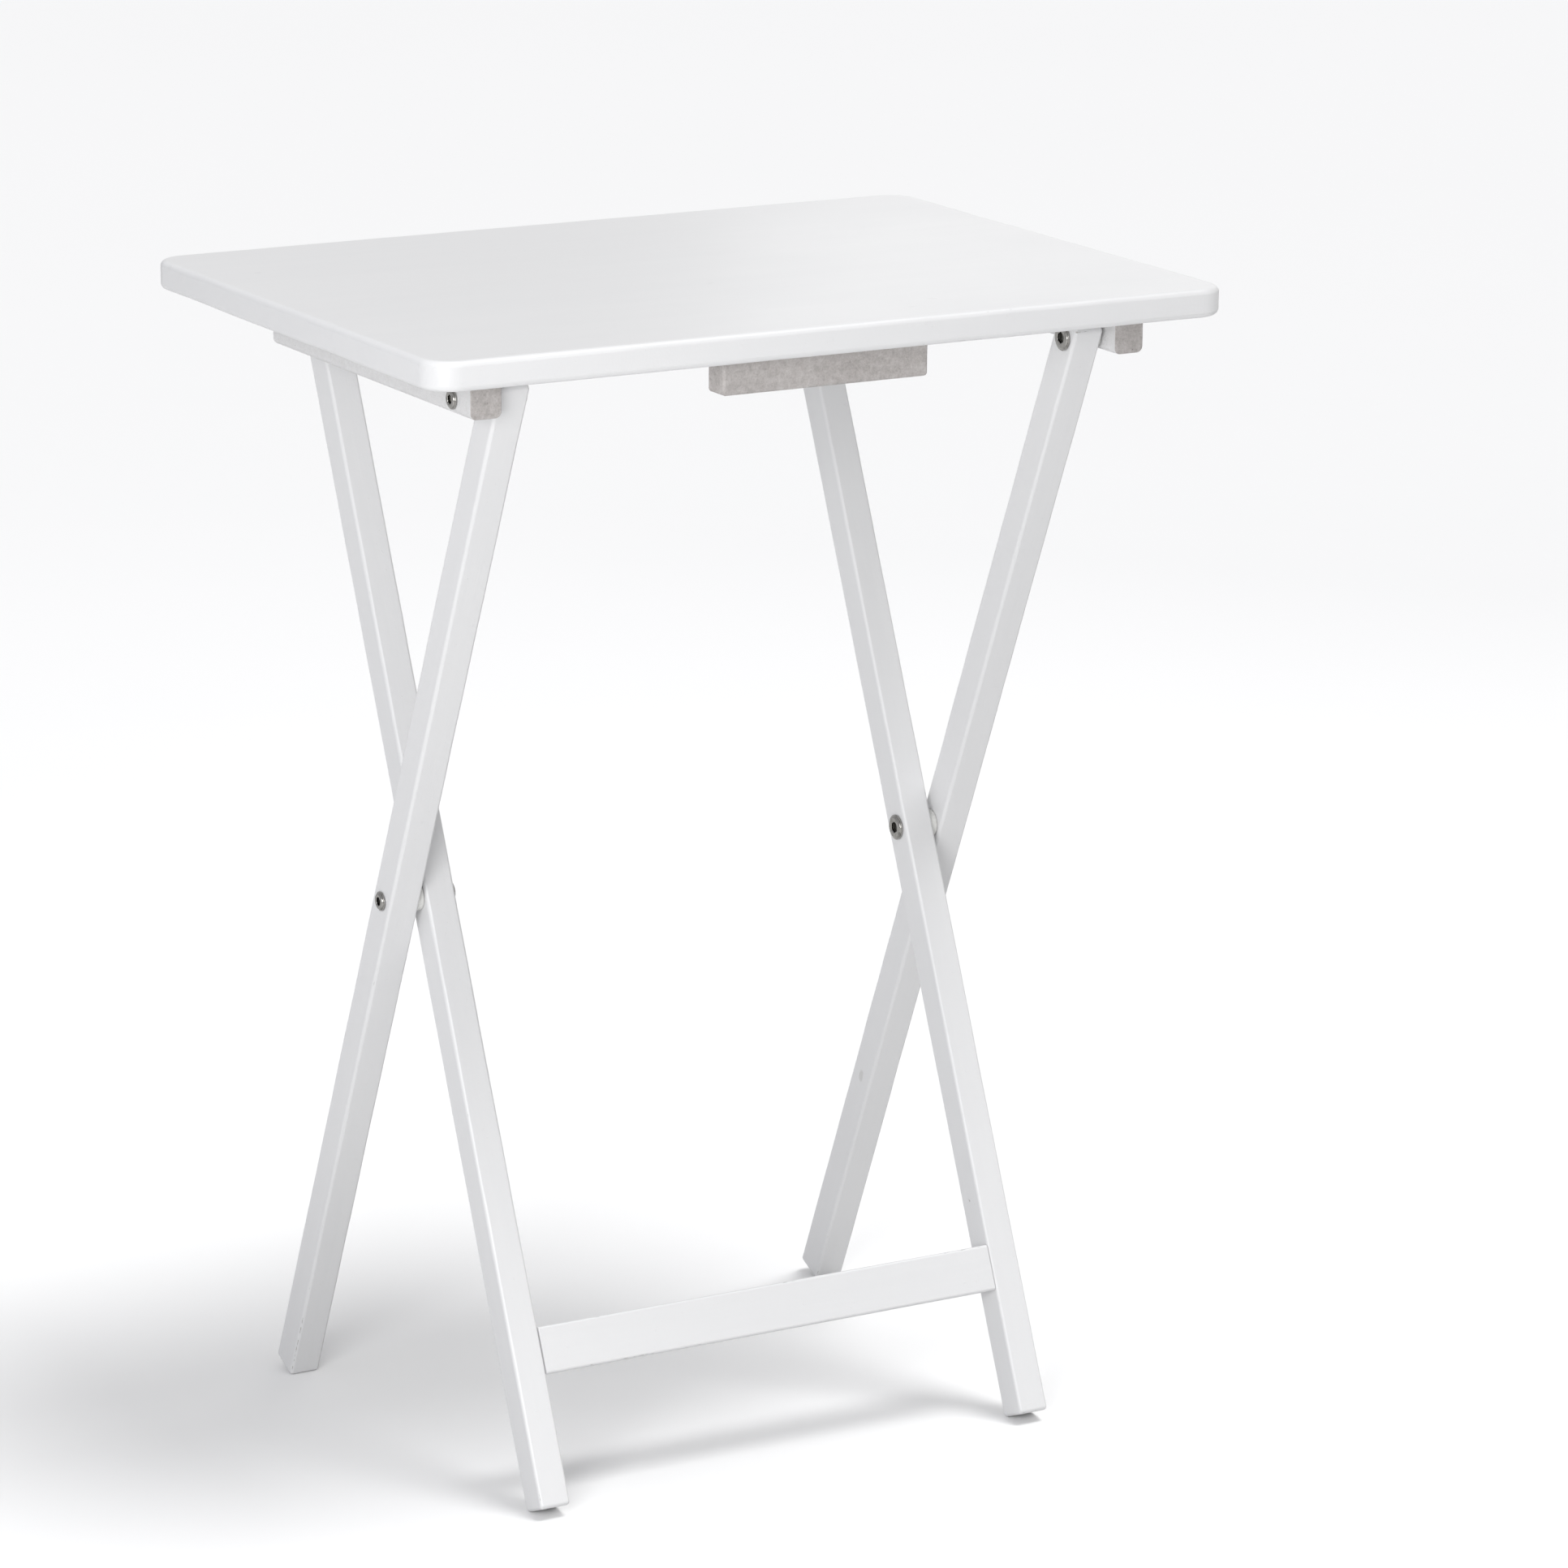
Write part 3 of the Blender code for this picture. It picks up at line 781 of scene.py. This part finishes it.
legShape = {
    "depth": 0.020,
    "footRadius": 0.0022,
    "end": 0.010,
    "endRadius": 0.0025,
    "rim": 0.0017,
    "rimSteps": 6,
    "cornerSteps": 10,
    "runLength": 0.011,
    "wander": 0.28,
    "tenonRadius": 0.005,
    "tenonLength": 0.012,
    "dowelRadius": 0.003,
    "dowelLength": 0.024,
    "dowelSpread": 0.0065,
    "gap": 0.0002,
}

stretcherShape = {
    "height": 0.026,
    "thickness": 0.015,
    "rise": 0.0715,
    "radius": 0.0016,
    "rim": 0.0004,
    "rimSteps": 2,
    "cornerSteps": 6,
    "runLength": 0.008,
    "bandLength": 0.010,
    "wander": 0.5,
    "seed": 41.0,
}

half = legShape["depth"] / 2
foot = legShape["footRadius"]
footLength = (crossing.z - foot - (half - foot) * math.sin(lean)) / math.cos(lean) + foot
outerTurn = Matrix.Rotation(lean, 4, "X")
innerTurn = Matrix.Rotation(-lean, 4, "X")
legCorners = [
    (-half, -footLength, foot),
    (half, -footLength, foot),
    (half, armLength + legShape["end"], legShape["endRadius"]),
    (-half, armLength + legShape["end"], legShape["endRadius"]),
]


def placeOn(turn, across=0.0):
    matrix = Matrix.Translation(crossing) @ turn
    return lambda u, v, w: matrix @ Vector((w + across, u, v))


def makeLeg(name, node, turn, material, body, seed, drills):
    low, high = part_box(node)
    shape = dict(legShape, seed=seed)
    solid = softSolid(shape, legCorners, low.x, high.x, placeOn(turn))
    holes = bmesh.new()
    for u, v, start, end, radius in drills:
        addDrill(holes, placeOn(turn)(u, v, 0), start, end, radius)
    makePiece(name, solid, material, body, [node], holes, turn.to_3x3())


stretcherFoot = stretcherShape["rise"] - footLength
stretcherMiddle = stretcherFoot + stretcherShape["height"] / 2
stretcherCentre = stretcherShape["thickness"] / 2 - half
dowelPlaces = [(stretcherCentre, stretcherMiddle + k * legShape["dowelSpread"]) for k in (1, -1)]
dowelHole = legShape["dowelRadius"] + legShape["gap"]
dowelReach = legShape["dowelLength"] / 2 + 2 * legShape["gap"]
tenonReach = legShape["tenonLength"] + 2 * bolt["faceGap"]

for number, (side, sign) in enumerate(sides):
    low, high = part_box(f"outer_leg_{side}")
    through = (low.x - overshoot, high.x + overshoot, bolt["holeRadius"])
    makeLeg(
        f"{side}OuterLeg", f"outer_leg_{side}", outerTurn, outerPaint, "outer_frame", 51.0 + number,
        [(0, 0, *through), (0, armLength, *through)],
    )
    low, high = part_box(f"inner_leg_{side}")
    face = high.x if sign < 0 else low.x  # the face that the bars butt against
    through = (low.x - overshoot, high.x + overshoot, bolt["holeRadius"])
    blind = sorted((face - sign * overshoot, face + sign * tenonReach))
    drills = [(0, 0, *through), (0, armLength, *blind, legShape["tenonRadius"] + legShape["gap"])]
    for u, v in dowelPlaces:
        ends = sorted((face - sign * overshoot, face + sign * dowelReach))
        drills.append((u, v, *ends, dowelHole))
    makeLeg(
        f"{side}InnerLeg", f"inner_leg_{side}", innerTurn, innerPaint, "inner_frame", 61.0 + number, drills
    )

low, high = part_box("lower_stretcher")
front, back = -half, -half + stretcherShape["thickness"]
upper = stretcherFoot + stretcherShape["height"]
corners = [
    (front, stretcherFoot, stretcherShape["radius"]),
    (back, stretcherFoot, stretcherShape["radius"]),
    (back, upper, stretcherShape["radius"]),
    (front, upper, stretcherShape["radius"]),
]
solid = softSolid(stretcherShape, corners, low.x, high.x, placeOn(innerTurn))
holes = bmesh.new()
for side, sign in sides:
    face = high.x if sign > 0 else low.x
    ends = sorted((face + sign * overshoot, face - sign * dowelReach))
    for u, v in dowelPlaces:
        addDrill(holes, placeOn(innerTurn)(u, v, 0), *ends, dowelHole)
makePiece(
    "lowerStretcher", solid, barPaint, "inner_frame", ["lower_stretcher"], holes,
    innerTurn.to_3x3(),
)

crossbar = {
    "radius": 0.008,
    "stations": 40,
    "wander": 0.00012,
    "lumps": 40.0,
    "seed": 5.0,
    "ease": 0.0004,
    "tenonTaper": 0.0008,
}

low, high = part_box("upper_crossbar")
shoulder = high.x - legShape["tenonLength"]
tenon = legShape["tenonRadius"]
ease, taper = crossbar["ease"], crossbar["tenonTaper"]
profile = [(-high.x, 0, 0), (-high.x, tenon - taper, 0), (-high.x + taper, tenon, 0)]
profile += [(-shoulder, tenon, 0), (-shoulder, crossbar["radius"] - ease, 0)]
for step in range(crossbar["stations"] + 1):
    along = (shoulder - ease) * (2 * step / crossbar["stations"] - 1)
    spot = Vector((along * crossbar["lumps"], crossbar["seed"], 0))
    radius = crossbar["radius"] + crossbar["wander"] * (noise.noise(spot) - 0.5)
    profile.append((along, radius, 0))
profile += [(shoulder, crossbar["radius"] - ease, 0), (shoulder, tenon, 0)]
profile += [(high.x - taper, tenon, 0), (high.x, tenon - taper, 0), (high.x, 0, 0)]
centre = Vector(((low.x + high.x) / 2, (low.y + high.y) / 2, (low.z + high.z) / 2))
solid = turnedSolid(profile, 48, place=Matrix.Translation(centre))
makePiece("upperCrossbar", solid, barPaint, "inner_frame", ["upper_crossbar"])

for name, node in frame["nodes"].items():
    if "_dowel_" in name:
        node.data.materials.clear()
        node.data.materials.append(dowelWood)
print("legs and bars made")


# Puts one fixing on every point of a mesh, turned by the point's own turn and spun a little.
def fixingTree():
    tree = bpy.data.node_groups.new("Set the fixings", "GeometryNodeTree")
    kinds = (
        ("Geometry", "NodeSocketGeometry"),
        ("Fixing", "NodeSocketObject"),
        ("Finish", "NodeSocketMaterial"),
        ("Head width", "NodeSocketFloat"),
        ("Drawn width", "NodeSocketFloat"),
        ("Largest spin", "NodeSocketFloat"),
        ("Seed", "NodeSocketInt"),
    )
    for label, kind in kinds:
        tree.interface.new_socket(label, in_out="INPUT", socket_type=kind)
    tree.interface.new_socket("Geometry", in_out="OUTPUT", socket_type="NodeSocketGeometry")
    given = tree.nodes.new("NodeGroupInput").outputs
    end = tree.nodes.new("NodeGroupOutput")
    drawn = addNode(tree, "GeometryNodeObjectInfo", {"Object": given["Fixing"]})
    named = addNode(tree, "GeometryNodeInputNamedAttribute", {"Name": "turn"}, data_type="FLOAT_VECTOR")
    turn = addNode(tree, "FunctionNodeEulerToRotation", {"Euler": named.outputs["Attribute"]})
    smallest = addMath(tree, "MULTIPLY", given["Largest spin"], -1.0)
    spin = addNode(tree, "FunctionNodeRandomValue", data_type="FLOAT")
    spinInputs = [socket for socket in spin.inputs if socket.enabled]
    tree.links.new(smallest, spinInputs[0])
    tree.links.new(given["Largest spin"], spinInputs[1])
    tree.links.new(given["Seed"], spin.inputs["Seed"])
    spinOut = next(socket for socket in spin.outputs if socket.enabled)
    about = addNode(tree, "ShaderNodeCombineXYZ", {"X": spinOut})
    aboutAxis = addNode(tree, "FunctionNodeEulerToRotation", {"Euler": about.outputs[0]})
    spun = addNode(
        tree, "FunctionNodeRotateRotation",
        {"Rotation": turn.outputs[0], "Rotate By": aboutAxis.outputs[0]}, rotation_space="LOCAL",
    )
    size = addMath(tree, "DIVIDE", given["Head width"], given["Drawn width"])
    settings = {
        "Points": given["Geometry"],
        "Instance": drawn.outputs["Geometry"],
        "Rotation": spun.outputs[0],
        "Scale": size,
    }
    placed = addNode(tree, "GeometryNodeInstanceOnPoints", settings)
    real = addNode(tree, "GeometryNodeRealizeInstances", {"Geometry": placed.outputs["Instances"]})
    done = addNode(
        tree, "GeometryNodeSetMaterial",
        {"Geometry": real.outputs["Geometry"], "Material": given["Finish"]},
    )
    tree.links.new(done.outputs["Geometry"], end.inputs["Geometry"])
    return tree


fixings = fixingTree()


def drawFixing(name, bm, cutter=None, shadeAndDirt=lambda along, radius: False):
    obj = linkedObject(meshOf(bm, name), name)
    refine(obj, cutter, 32)
    points = [(v.co.x, math.hypot(v.co.y, v.co.z)) for v in obj.data.vertices]
    layer = obj.data.attributes.new("radial", "FLOAT", "POINT")
    layer.data.foreach_set("value", [radius for along, radius in points])
    # marks where painted shade and dirt darken the metal
    layer = obj.data.attributes.new("recess", "FLOAT", "POINT")
    layer.data.foreach_set("value", [float(shadeAndDirt(along, radius)) for along, radius in points])
    return obj


def setFixings(name, drawn, spots, width, material, body, nodes, spin=0.0, seed=0):
    mesh = bpy.data.meshes.new(name)
    mesh.from_pydata([place for place, turn in spots], [], [])
    layer = mesh.attributes.new("turn", "FLOAT_VECTOR", "POINT")
    layer.data.foreach_set("vector", [value for place, turn in spots for value in turn])
    obj = linkedObject(mesh, name)
    modifier = obj.modifiers.new("Fixings", "NODES")
    modifier.node_group = fixings
    values = {
        "Fixing": drawn,
        "Finish": material,
        "Head width": width,
        "Drawn width": width,
        "Largest spin": spin,
        "Seed": seed,
    }
    for item in fixings.interface.items_tree:
        if item.in_out == "INPUT" and item.name in values:
            modifier[item.identifier] = values[item.name]
    applyModifiers(obj)
    finishPiece(obj, material, body, nodes)


# A low flanged head with a six-sided socket. X points out of the wood, and the shank goes back.
def headProfile(radius, height, socket, shank, length):
    flange = bolt["flange"]
    # the stem, from its tapered tip to the head
    rows = [(-length, 0, 0), (-length, shank * 0.8, 0), (-length + shank * 0.3, shank, 0)]
    # the flange and the crown
    rows += [(0, shank, 0), (0, radius - 0.00012, 0), (0.00012, radius, 0)]
    rows += quarterArc((flange, radius), (flange + 0.00025, radius - 0.0004), 4)
    rows += quarterArc((flange + 0.00025, radius - 0.0007), (height, radius * 0.62), 9)
    # the mouth of the socket, its six walls and its floor
    rows += [(height, socket * 1.34, 0), (height - 0.00006, socket * 1.24, 0)]
    rows += [(height - 0.00025, socket * 1.06, 0.75), (height - 0.0004, socket, 1)]
    rows += [(0.00035, socket * 0.97, 1), (0.0002, socket * 0.9, 1), (0.00005, 0, 0)]
    return rows


# Painted shade and dirt: under the flange and inside the socket are darkened, where shade falls and dirt
# gathers.
def shadedDirtyPlaces(height, socket):
    return lambda along, radius: along < 0.0001 or (radius < socket * 1.2 and along < height - 0.0003)


def xFaces(node):
    low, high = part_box(node)
    return low.x, high.x


out = {1: (0, 0, 0), -1: (0, 0, math.pi)}  # turns that point X to the right and to the left
stacks = (("middle", "outer_frame", crossing), ("upper", "tray", upperPivot))

for place, body, centre in stacks:
    outerFace, innerFace = {}, {}
    for side, sign in sides:
        capEnd = xFaces(f"{place}_{side}_sleeve_nut")[sign > 0]
        headEnd = xFaces(f"{place}_{side}_bolt")[sign < 0]
        outerFace[sign] = capEnd - sign * bolt["capHeight"]
        innerFace[sign] = headEnd + sign * bolt["headHeight"]
    stack = abs(outerFace[1] - innerFace[1]) - 2 * bolt["faceGap"]
    fixingKinds = (
        ("Bolts", "bolt", "head", "shank", innerFace, -1, 5),
        ("SleeveNuts", "sleeve_nut", "cap", "sleeve", outerFace, 1, 9),
    )
    for label, node, end, stem, faces, facing, seed in fixingKinds:
        radius, height, socket = (bolt[end + size] for size in ("Radius", "Height", "Socket"))
        length = stack * bolt[stem + "Share"]
        profile = headProfile(radius, height, socket, bolt[stem + "Radius"], length)
        drawn = drawFixing(f"drawn{label}", turnedSolid(profile), None, shadedDirtyPlaces(height, socket))
        spots = [((faces[sign], centre.y, centre.z), out[sign * facing]) for side, sign in sides]
        nodes = [f"{place}_{side}_{node}" for side, sign in sides]
        setFixings(
            f"{place}{label}", drawn, spots, 2 * radius, boltSteel, body, nodes,
            math.pi, seed,
        )
        bpy.data.objects.remove(drawn)

washer = {
    "middle": ("spacer", 0.0080),
    "upper": ("washer", 0.0070),
    "bore": 0.0042,
    "ease": 0.0003,
    "seam": 0.0001,
    "largestSpin": 0.6,
    "seed": 13,
}

for place, body, centre in stacks:
    kind, radius = washer[place]
    bore, ease, seam = washer["bore"], washer["ease"], washer["seam"]
    low, high = xFaces(f"{place}_right_{kind}")
    width, middle = high - low, (high - low) / 2
    nick = ease * 0.3
    rows = [(0, bore + ease, 0), (0, radius - ease, 0), (nick, radius - nick, 0), (ease, radius, 0)]
    rows += [(middle - seam, radius, 0), (middle, radius - seam, 0), (middle + seam, radius, 0)]
    rows += [(width - ease, radius, 0), (width - nick, radius - nick, 0), (width, radius - ease, 0)]
    rows += [(width, bore + ease, 0), (width - ease, bore, 0), (ease, bore, 0)]
    drawn = drawFixing("drawnWasher", turnedSolid(rows, 48, ring=True))
    spots = [((sign * low, centre.y, centre.z), out[sign]) for side, sign in sides]
    nodes = [f"{place}_{side}_{kind}" for side, sign in sides]
    setFixings(
        f"{place}{kind.capitalize()}s", drawn, spots, 2 * radius, washerPlastic, body,
        nodes, washer["largestSpin"], washer["seed"],
    )
    bpy.data.objects.remove(drawn)


# A tapered cross, the shape of a driver's tip.
def crossTip():
    reach, width, depth = screw["crossReach"], screw["crossWidth"] / 2, screw["crossDepth"]
    plan = []
    for quarter in range(4):
        spin = Matrix.Rotation(math.pi / 2 * quarter, 2)
        plan += [spin @ Vector(corner) for corner in ((reach, -width), (reach, width), (width, width))]
    bm = bmesh.new()
    rings = []
    for along, size in ((-0.0004, 1.15), (depth * 0.45, 0.72), (depth, 0.30)):
        rings.append([bm.verts.new((along, p.x * size, p.y * size)) for p in plan])
    for ring, following in zip(rings, rings[1:]):
        for k in range(len(ring)):
            m = (k + 1) % len(ring)
            bm.faces.new((ring[k], ring[m], following[m], following[k]))
    bm.faces.new(rings[0])
    bm.faces.new(rings[-1])
    return bm


# All the screws have one head, and the length of the shorter ones.
shortest = min(length for place, length in places.values())
drawnScrew = drawFixing("drawnScrew", turnedSolid(screwProfile(shortest), 40), crossTip())
spots = [(place, (0, -math.pi / 2, 0)) for place, length in places.values()]
setFixings(
    "woodScrews", drawnScrew, spots, screw["headWidth"], screwSteel, "tray", screwNames,
    screw["largestSpin"], screw["seed"],
)
bpy.data.objects.remove(drawnScrew)
print("hardware set")


studio = {
    "floorSize": 60.0,
    "floor": (0.95, 0.95, 0.95, 1),
    "floorShade": (0.93, 0.93, 0.93, 1),
    "skyLeft": (0.47, 0.475, 0.50, 1),
    "skyRight": (0.54, 0.537, 0.53, 1),
    "backdrop": (0.93, 0.93, 0.93, 1),  # what shows past the floor's far edge
    "floorBounce": (0.62, 0.62, 0.62, 1),
    "key": {"strength": 1.62, "elevation": 72.0, "turn": 58.0, "spread": 24.0},
    "softboxes": (
        ("Card", (1.25, 1.15, 1.25), (0.1, 0.0, 0.6), (1.1, 0.9), 2.1),
        ("Softbox", (-1.40, -1.38, 0.86), (0.0, 0.0, 0.45), (0.9, 0.9), 20.0),
    ),
}

bm = bmesh.new()
bmesh.ops.create_grid(bm, x_segments=1, y_segments=1, size=studio["floorSize"] / 2)
floor = linkedObject(meshOf(bm, "studioFloor"), "studioFloor")
material, tree, shader, place = newMaterial("Pale floor", Roughness=0.9, Specular_IOR_Level=0.1)
cloud = addNoise(tree, place, 0.6, 2.0, 0.5)
seen = addMix(tree, cloud, studio["floor"], studio["floorShade"])
direct = addNode(tree, "ShaderNodeLightPath").outputs["Is Camera Ray"]
colour = addMix(tree, direct, studio["floorBounce"], seen)  # it lights the table less than it shows
tree.links.new(colour, shader.inputs["Base Color"])
floor.data.materials.append(material)

world = bpy.data.worlds.new("Soft studio")
world.use_nodes = True
bpy.context.scene.world = world
tree = world.node_tree
background = tree.nodes["Background"]
direction = addNode(tree, "ShaderNodeTexCoord").outputs["Generated"]
across = addNode(tree, "ShaderNodeSeparateXYZ", {"Vector": direction}).outputs["X"]
share = addRange(tree, across, -0.8, 0.8, smooth=True)
sky = addMix(tree, share, studio["skyLeft"], studio["skyRight"])
direct = addNode(tree, "ShaderNodeLightPath").outputs["Is Camera Ray"]
tree.links.new(addMix(tree, direct, sky, studio["backdrop"]), background.inputs["Color"])


def addLight(name, kind, **settings):
    light = bpy.data.lights.new(name, kind)
    for setting, value in settings.items():
        setattr(light, setting, value)
    obj = bpy.data.objects.new(name, light)
    bpy.context.scene.collection.objects.link(obj)
    return obj


key = studio["key"]
sun = addLight("Key", "SUN", energy=key["strength"], angle=math.radians(key["spread"]))
sun.rotation_euler = (math.radians(90 - key["elevation"]), 0, math.radians(key["turn"]))

for name, place, aim, (width, height), power in studio["softboxes"]:
    box = addLight(name, "AREA", shape="RECTANGLE", size=width, size_y=height, energy=power)
    turn = (Vector(aim) - Vector(place)).to_track_quat("-Z", "Y").to_matrix().to_4x4()
    box.matrix_world = Matrix.Translation(place) @ turn
    box.visible_camera = False

camera = {
    "position": (-1.58220, -2.88702, 1.23487),
    "target": (0.06415, 0.0, 0.35312),
    "roll": 0.4424,
    "lens": 140.356,
    "sensor": 36.0,
}

lens = bpy.data.cameras.new("Camera")
lens.lens = camera["lens"]
lens.sensor_width = camera["sensor"]
lens.clip_start, lens.clip_end = 0.05, 200.0
cameraObject = bpy.data.objects.new("Camera", lens)
bpy.context.scene.collection.objects.link(cameraObject)
position, target = Vector(camera["position"]), Vector(camera["target"])
aim = (target - position).to_track_quat("-Z", "Y").to_matrix().to_4x4()
spin = Matrix.Rotation(math.radians(camera["roll"]), 4, "Z")
cameraObject.matrix_world = Matrix.Translation(position) @ aim @ spin
bpy.context.scene.camera = cameraObject
bpy.context.scene.view_settings.view_transform = "Standard"
print("studio set")
